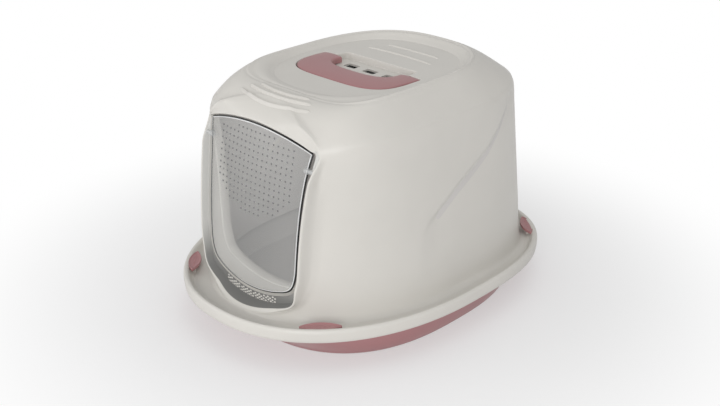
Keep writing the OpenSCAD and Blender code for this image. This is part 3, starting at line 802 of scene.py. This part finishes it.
# grip bumps on the ledge below the door
BUMP_PITCH, BUMP_STEP = 8.6, 2.35
build = Build()
t = np.linspace(0, 2 * math.pi, 12, endpoint=False)
lower = np.where(OUT[:, 1] < 120)[0]
for row in range(5):
    q = offset(5.6, 3, 6.6 + row * BUMP_STEP)
    pts = lay(q, recess(q))
    for x in (np.arange(12) - 5.5 + (0.5 if row % 2 else 0)) * BUMP_PITCH:
        i = lower[np.argmin(np.abs(q[lower, 0] - x))]
        if abs(q[i, 0] - x) > 4:
            continue
        c = pts[i]
        build.grid([np.stack([c[0] + r * np.cos(t), np.full(12, c[1] - h + 0.1), c[2] + 0.8 * r * np.sin(t)], -1)
                    for r, h in dome_profile(1.9, 1.2, (0.0, 0.45, 0.8, 1.0), 0.98)],
                   flip=True, caps=(False, True))
build.obj("hood_ledge_bumps", "hood", "ivory_plastic", IVORY, 60)

# lugs that carry the clips, and the bosses and lugs below the roof
CLIPS = {}
g = rim_ring(0, 0)
for name, angle, inset in (("clip_front_right", -57.9, 15), ("clip_front_left", -122.1, 15),
                           ("clip_rear_right", 56.4, 13), ("clip_rear_left", 123.6, 13)):
    p = ring_xyz([g], np.array([math.radians(angle)]))[0, 0]
    n = (g[6] if p[1] < 0 else g[7]) - 1
    b = g[4] if p[1] < 0 else g[5]
    nx = math.copysign((abs(p[0]) / g[3]) ** n / g[3], p[0])
    ny = math.copysign((abs(p[1]) / b) ** n / b, p[1])
    turn = math.atan2(ny, nx)
    CLIPS[name] = (p[0] - inset * math.cos(turn), p[1] - inset * math.sin(turn), turn)


def placed(name):
    """Maps a clip's own u outward, z up and t along the rim to x, y, z."""
    cx, cy, turn = CLIPS[name]
    c, s = math.cos(turn), math.sin(turn)
    return lambda u, z, t: (cx + u * c - t * s, cy + u * s + t * c, z)


PIN_Z = GUTTER_Z + 3.2
arch = [(-3, GUTTER_Z - 0.5), (3, GUTTER_Z - 0.5), (3, PIN_Z)]
arch += [(3 * math.cos(k * math.pi / 12), PIN_Z + 2.4 * math.sin(k * math.pi / 12)) for k in range(1, 12)]
arch += [(-3, PIN_Z)]
build = Build()
for name in CLIPS:
    for mid in (-12.8, 12.8):
        build.extrude(arch, 2, lambda u, z, t, mid=mid, put=placed(name): put(u, z, t + mid))
for side in (-1, 1):
    x = side * 52.5
    build.extrude([(-2.5, -3), (3.5, -3), (3.5, 7), (-2.5, 7)], 2, lambda y, z, t, x=x: (x + t, 40.4 + y, 328 + z))
build.obj("hood_lugs", "hood", "ivory_plastic", IVORY, 30)
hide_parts("hood")


# ---------------------------------------------------------------- clips
def lens(n, length=60.0, width=19.0):
    r = ((length / 2) ** 2 + (width / 2) ** 2) / width
    half = math.asin(length / 2 / r)
    t = np.linspace(-half, half, n // 2, endpoint=False)
    right = np.stack([r * np.cos(t) - (r - width / 2), r * np.sin(t)], -1)
    return np.concatenate([right, -right])


base = closed_loop(lens(120), 120, 3)[0]
top = CREST_Z - 0.4
cap_z = top - 4.4
profile = [(0.97, cap_z), (1.0, top - 3.9), (1.0, top - 1.2), (0.985, top - 0.45), (0.955, top - 0.08), (0.92, top),
           (0.87, top - 0.12), (0.8, top - 0.75), (0.62, top - 1.15), (0.35, top - 1.3), (0.1, top - 1.35)]
leg = [(-3.5, cap_z + 0.5), (-3.5, PIN_Z + 0.5), (-2, PIN_Z - 2.2), (3, PIN_Z - 2.2), (3, 43.8), (0.2, 43.8),
       (0.2, 42.6), (1.4, 41.4), (5.6, 41.4), (5.6, cap_z + 0.5)]
circle = np.linspace(0, 2 * math.pi, 14, endpoint=False)
for name in CLIPS:
    put = placed(name)
    build = Build()
    build.grid([[put(u * s, z, t * (1 - (1 - s) * 0.55)) for u, t in base] for s, z in profile], caps=(True, True))
    build.extrude(leg, 10, put)
    cylinder(build, put(0, PIN_Z, -14.6), put(0, PIN_Z, 14.6), 2)
    for k in range(-2, 3):
        build.grid([[put(r * math.cos(w), top - 1.3 + h, k * 6.0 + r * math.sin(w)) for w in circle]
                    for r, h in dome_profile(1.15, 0.7, (0.0, 0.5, 0.85, 1.0), 0.97)], caps=(False, True))
    obj = build.obj(name + "_latch", name, "pink_plastic", PINK, 40)
    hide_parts(name)

# ---------------------------------------------------------------- tray
BOTTOM = flat_ring(0, 188, 221, 221, 2.6, 2.6)
TOP = TRAY_H - WALL
outside = [BOTTOM, shrink(BOTTOM, -2.2, -0.6), shrink(BOTTOM, -4.4, -2.4), shrink(BOTTOM, -6.6, -6)]
outside += [rim_ring(inset, z) for inset, z in ((16.6, TOP - 2.2), (15.6, TOP - 1), (13, TOP - 0.7), (5, TOP),
                                                (4.4, TRAY_H - 1.4), (5, TRAY_H - 0.2), (6, TRAY_H))]
basin = [rim_ring(inset, z) for inset, z in ((6, TRAY_H), (16, TRAY_H), (17.6, TRAY_H - 0.6), (19, TOP))]
basin += [shrink(BOTTOM, 0, -6.5), shrink(BOTTOM, 1.6, -4.2), shrink(BOTTOM, 6, -3), shrink(BOTTOM, 12, -3)]
build = Build()
build.grid(skin(outside, [2, 2, 3, 18, 2, 2, 2, 2, 2, 2], PHI[::2]), caps=(True, False))
tray_obj = build.obj("tray_outside", "tray", "pink_plastic", PINK, 50)
build = Build()
build.grid(skin(basin, [2, 2, 2, 16, 3, 3, 2], PHI[::2]), caps=(False, True))
build.obj("tray_inside", "tray", "pink_plastic", GREY, 50)
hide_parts("tray")

# ---------------------------------------------------------------- door
DOOR_Y, DOOR_R, DOOR_T = -235.0, 505.0, 2.6
DOT_PITCH_X, DOT_PITCH_Z, DOT_TOP_Z = 9.0, 8.7, 304.0


def on_door(q, depth):
    return lay(q, barrel_y(q, DOOR_Y, DOOR_R) + depth)


def door_row(grow, depth, lower=0.0):
    """A row along the door's outline; lower draws its lower edge in further."""
    return on_door(offset(grow, grow, grow - lower), depth)


build = Build()
for edge, fractions, depth, caps in ((offset(-2.6, -2.6, -3.5), np.linspace(0.02, 1, 26), 0, (True, False)),
                                     (offset(-0.9), np.linspace(1, 0.02, 26), DOOR_T, (False, True))):
    build.grid([on_door(centre + (edge - centre) * f, depth) for f in fractions], caps=caps, flip=True)
panel = build.obj("door_panel", "door", "clear_plastic", CLEAR, 60)
# the front bevel round the door takes the painted-highlight clear
build = Build()
build.grid([door_row(-2.6, 0, 0.9), door_row(-2.0, 0.1, 0.9), door_row(-1.4, 0.35, 0.9)], flip=True)
build.obj("door_bevel", "door", "clear_plastic", EDGE, 60)
# the door's rim is painted near-black: painted gap shadow and painted dark refraction of the clear edge
build = Build()
build.grid([door_row(-1.4, 0.35, 0.9)] + [door_row(grow, depth) for grow, depth in (
    (-0.7, 0.8), (-0.2, 1.3), (0.0, 1.8), (0.0, 2.3), (-0.3, 2.55), (-0.9, DOOR_T))], flip=True)
build.obj("door_edge", "door", "clear_plastic", DOOR_RIM_SHADE, 60)
build = Build()
for side in (-1, 1):
    x = side * (float(door_x(PIVOT[2])) - 5)
    for near, far, r in ((0, 6, 4.2), (5.5, 15, 3.0)):
        cylinder(build, (x + side * near, *PIVOT[1:]), (x + side * far, *PIVOT[1:]), r)
build.obj("door_pivots", "door", "clear_plastic", PIN, 40)
# relief dots on the door, painted near-black for the shade and dark reflection they show
build = Build()
t = np.linspace(0, 2 * math.pi, 10, endpoint=False)
for row in range(15):
    for col in range(-8, 9):
        x, z = col * DOT_PITCH_X, DOT_TOP_Z - row * DOT_PITCH_Z
        if z > 317 - 18 * (x / 104) ** 2 - 10 or z < 188 + 34 * (abs(x) / 76) ** 2.2:
            continue
        y = float(barrel_y(np.array([[x, z]]), DOOR_Y, DOOR_R)[0]) + DOOR_T
        build.grid([np.stack([x + r * np.cos(t), np.full(10, y - 0.05 + h), z + r * np.sin(t)], -1)
                    for r, h in dome_profile(1.5, 0.9, (0.0, 0.6, 1.0), 0.9)], caps=(False, True))
build.obj("door_dots_painted_shade", "door", "clear_plastic", DOT, 60)
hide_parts("door")

# ---------------------------------------------------------------- carry handle
def handle_top(y):
    d = HANDLE_Y - y
    return HANDLE_Z + np.interp(d, [-5, 0, 20, 41, 70, 82], [4.2, 4.8, 5.8, 6.2, 5.6, 4.6])


def handle_low(y):
    d = HANDLE_Y - y
    return HANDLE_Z + np.interp(d, [-5, 0, 41, 82], [-4.2, -4.6, -1.3, -0.2])


def by_length(c, n):
    s = np.concatenate([[0], np.cumsum(np.linalg.norm(np.diff(c, axis=0), axis=1))])
    u = np.linspace(0, s[-1], n)
    return np.stack([np.interp(u, s, c[:, k]) for k in (0, 1)], -1)


def grip_line(half, reach, power, n=120):
    """The outer or inner edge of the handle in plan, with short straight ends behind the pivots."""
    arm = np.linspace(4.6, 0, 5)[:-1]
    bow = by_length(half_super(half, reach, power, HANDLE_Y, n), n)
    return np.concatenate([[(-half, HANDLE_Y + a) for a in arm], bow, [(half, HANDLE_Y + a) for a in arm[::-1]]])


out_c, in_c = grip_line(96, 82, GRIP_POWER), grip_line(60, 34, 3.0)
CROWN = 8
cross = [(0.0, 0.0), (0.0, 0.35), (0.0, 0.72), (0.012, 0.88), (0.045, 0.97), (0.1, 1.0), (0.3, 1.06), (0.5, 1.08),
         (0.7, 1.06), (0.9, 1.0), (0.955, 0.97), (0.988, 0.88), (1.0, 0.72), (1.0, 0.35), (1.0, 0.0), (0.96, 0.0),
         (0.04, 0.0)]
sections = []
for w, h in cross:
    p = out_c + (in_c - out_c) * w
    zt, zb = handle_top(p[:, 1]), handle_low(p[:, 1])
    z = zb + (zt - zb) * min(h, 1) + CROWN * max(h - 1, 0)
    sections.append(np.stack([p[:, 0], p[:, 1], z], -1))
sections = np.swapaxes(np.array(sections), 0, 1)
build = Build()
build.grid(sections, caps=(True, True), flip=True)
for side in (-1, 1):
    cylinder(build, (side * 90, HANDLE_Y, HANDLE_Z), (side * 102, HANDLE_Y, HANDLE_Z), 3.0)
handle = build.obj("handle_grip", "carry_handle", "pink_plastic", PINK, 42)
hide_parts("carry_handle")

# ---------------------------------------------------------------- filter
lo, hi = (np.array(c) * 1000 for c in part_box("filter_pad"))
a, b = lo + 0.4, hi - 0.4
pad, pad_n = closed_loop([(a[0], a[1]), (b[0], a[1]), (b[0], b[1]), (a[0], b[1])], 220, 6)
profile = [(-7, lo[2] + 0.05), (-2.2, lo[2] + 0.3), (-0.8, lo[2] + 1.2), (0, (lo[2] + hi[2]) / 2),
           (-0.8, hi[2] - 1.2), (-2.2, hi[2] - 0.3), (-7, hi[2] - 0.05)]
build = Build()
build.grid([np.concatenate([pad + pad_n * g, np.full((220, 1), z)], 1) for g, z in profile], caps=(True, True))
foam_pad = build.obj("filter_foam_pad", "filter_holder", "filter_foam", FOAM, 50)
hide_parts("filter_pad")
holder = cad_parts["filter_holder"]
if holder.data.materials:
    holder.material_slots[0].material = IVORY_IN
else:
    holder.data.materials.append(IVORY_IN)

# ---------------------------------------------------------------- stage, light and camera
def stage_material():
    """A pale floor that keeps the shadow near the object and fades to white away from it."""
    m = bpy.data.materials.new("floor_white")
    m.use_nodes = True
    nt = m.node_tree
    bsdf = nt.nodes["Principled BSDF"]
    bsdf.inputs["Base Color"].default_value = (0.83, 0.83, 0.835, 1)
    bsdf.inputs["Roughness"].default_value = 0.7
    bsdf.inputs["Specular IOR Level"].default_value = 0.15
    out = nt.nodes["Material Output"]
    coord = node(nt, "ShaderNodeTexCoord")
    length = node(nt, "ShaderNodeVectorMath", operation="LENGTH")
    link(nt, coord, "Object", length, 0)
    fade = node(nt, "ShaderNodeMapRange", interpolation_type="SMOOTHSTEP", From_Min=0.30, From_Max=0.70,
                To_Min=0.40, To_Max=1.0)
    link(nt, length, "Value", fade, "Value")
    path = node(nt, "ShaderNodeLightPath")
    seen = node(nt, "ShaderNodeMath", operation="MAXIMUM")
    seen2 = node(nt, "ShaderNodeMath", operation="MAXIMUM")
    link(nt, path, "Is Camera Ray", seen, 0)
    link(nt, path, "Is Glossy Ray", seen, 1)
    link(nt, seen, 0, seen2, 0)
    link(nt, path, "Is Transmission Ray", seen2, 1)
    fac = node(nt, "ShaderNodeMath", operation="MULTIPLY")
    link(nt, fade, "Result", fac, 0)
    link(nt, seen2, 0, fac, 1)
    glow = node(nt, "ShaderNodeEmission")
    glow.inputs["Color"].default_value = (1, 1, 1, 1)
    glow.inputs["Strength"].default_value = 1.0
    mixer = node(nt, "ShaderNodeMixShader")
    link(nt, fac, 0, mixer, 0)
    link(nt, bsdf, 0, mixer, 1)
    link(nt, glow, 0, mixer, 2)
    link(nt, mixer, 0, out, "Surface")
    return m


mesh = bpy.data.meshes.new("floor")
disc = [(9 * math.cos(a * math.pi / 48), 9 * math.sin(a * math.pi / 48), 0) for a in range(96)]
mesh.from_pydata(disc, [], [tuple(range(len(disc)))])
mesh.materials.append(stage_material())
floor = bpy.data.objects.new("floor", mesh)
scene.collection.objects.link(floor)

world = bpy.data.worlds.new("studio")
scene.world = world
world.use_nodes = True
nt = world.node_tree
bg = nt.nodes["Background"]
bg.inputs["Color"].default_value = (1, 1, 1, 1)
bg.inputs["Strength"].default_value = 0.54
white = nt.nodes.new("ShaderNodeBackground")
white.inputs["Color"].default_value = (1, 1, 1, 1)
white.inputs["Strength"].default_value = 1.0
path = nt.nodes.new("ShaderNodeLightPath")
mixer = nt.nodes.new("ShaderNodeMixShader")
link(nt, path, "Is Camera Ray", mixer, 0)
link(nt, bg, 0, mixer, 1)
link(nt, white, 0, mixer, 2)
link(nt, mixer, 0, nt.nodes["World Output"], "Surface")


def stand(name, data, where, aim=None):
    obj = bpy.data.objects.new(name, data)
    scene.collection.objects.link(obj)
    obj.location = where
    if aim is not None:
        obj.rotation_euler = (Vector(aim) - Vector(where)).to_track_quat("-Z", "Y").to_euler()
    return obj


def area(name, where, aim, size, power):
    data = bpy.data.lights.new(name, "AREA")
    data.shape = "SQUARE"
    data.size = size
    data.energy = power
    stand(name, data, where, aim)


area("key_light", (1.7, -2.5, 0.95), (0, 0, 0.15), 1.5, 41)
area("fill_light", (-1.9, -2.2, 1.2), (0, 0, 0.15), 1.6, 16)
area("top_light", (0.1, 0.5, 2.6), (0, 0, 0.2), 2.2, 10)

lamp = bpy.data.lights.new("inner_light", "POINT")
lamp.energy = 0.22
lamp.shadow_soft_size = 0.05
stand("inner_light", lamp, (-0.03, -0.02, 0.24)).visible_camera = False

# the camera as recovered from the photograph; its focal length in pixels is 1090.15 of 720
camera = bpy.data.cameras.new("camera")
camera.sensor_width = 36.0
camera.lens = 1090.15 * camera.sensor_width / 720.0
camera.clip_end = 60.0
scene.camera = stand("camera", camera, (1.05857, -1.09539, 0.83473), (0.01281, -0.02127, 0.14017))
scene.view_settings.view_transform = "Standard"
